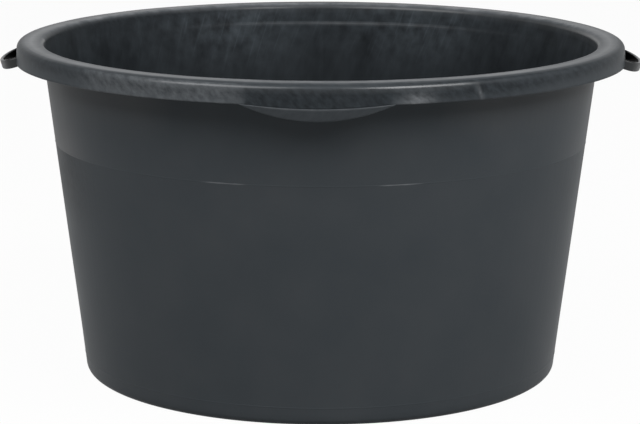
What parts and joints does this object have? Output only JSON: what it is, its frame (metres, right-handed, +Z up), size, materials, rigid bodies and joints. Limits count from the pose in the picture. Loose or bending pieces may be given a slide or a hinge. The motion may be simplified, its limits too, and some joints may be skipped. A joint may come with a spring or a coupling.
{
  "type": "cement tub",
  "caption": "Round tapered plastic mortar tub with a wide turned-down rim, hand grip lips under the rim, a steel rim hoop and hinged side lifting loops.",
  "frame": {"origin": "middle of the foot ring, on the ground", "axes": "+Z up along the tub's axis, -Y towards the front hand grip, -X and +X towards the lifting loops"},
  "size_m": [0.6336, 0.6002, 0.33],
  "materials": {
    "tub_plastic": "moulded satin",
    "hoop_steel": "galvanised",
    "loop_steel": "dark coated"
  },
  "bodies": {
    "tub": {"tub_bucket": "tub_plastic", "tub_rim": "tub_plastic", "front_grip_lip": "tub_plastic", "back_grip_lip": "tub_plastic", "rim_hoop": "hoop_steel"},
    "left_loop": {"left_lifting_loop": "loop_steel"},
    "right_loop": {"right_lifting_loop": "loop_steel"}
  },
  "joints": [
    {"name": "left_loop_swing", "type": "hinge", "parent": "tub", "child": "left_loop", "pos_m": [-0.28345, 0, 0.315], "axis": [0, 1, 0], "range_deg": [0, 17]},
    {"name": "right_loop_swing", "type": "hinge", "parent": "tub", "child": "right_loop", "pos_m": [0.28345, 0, 0.315], "axis": [0, -1, 0], "range_deg": [0, 17]}
  ]
}
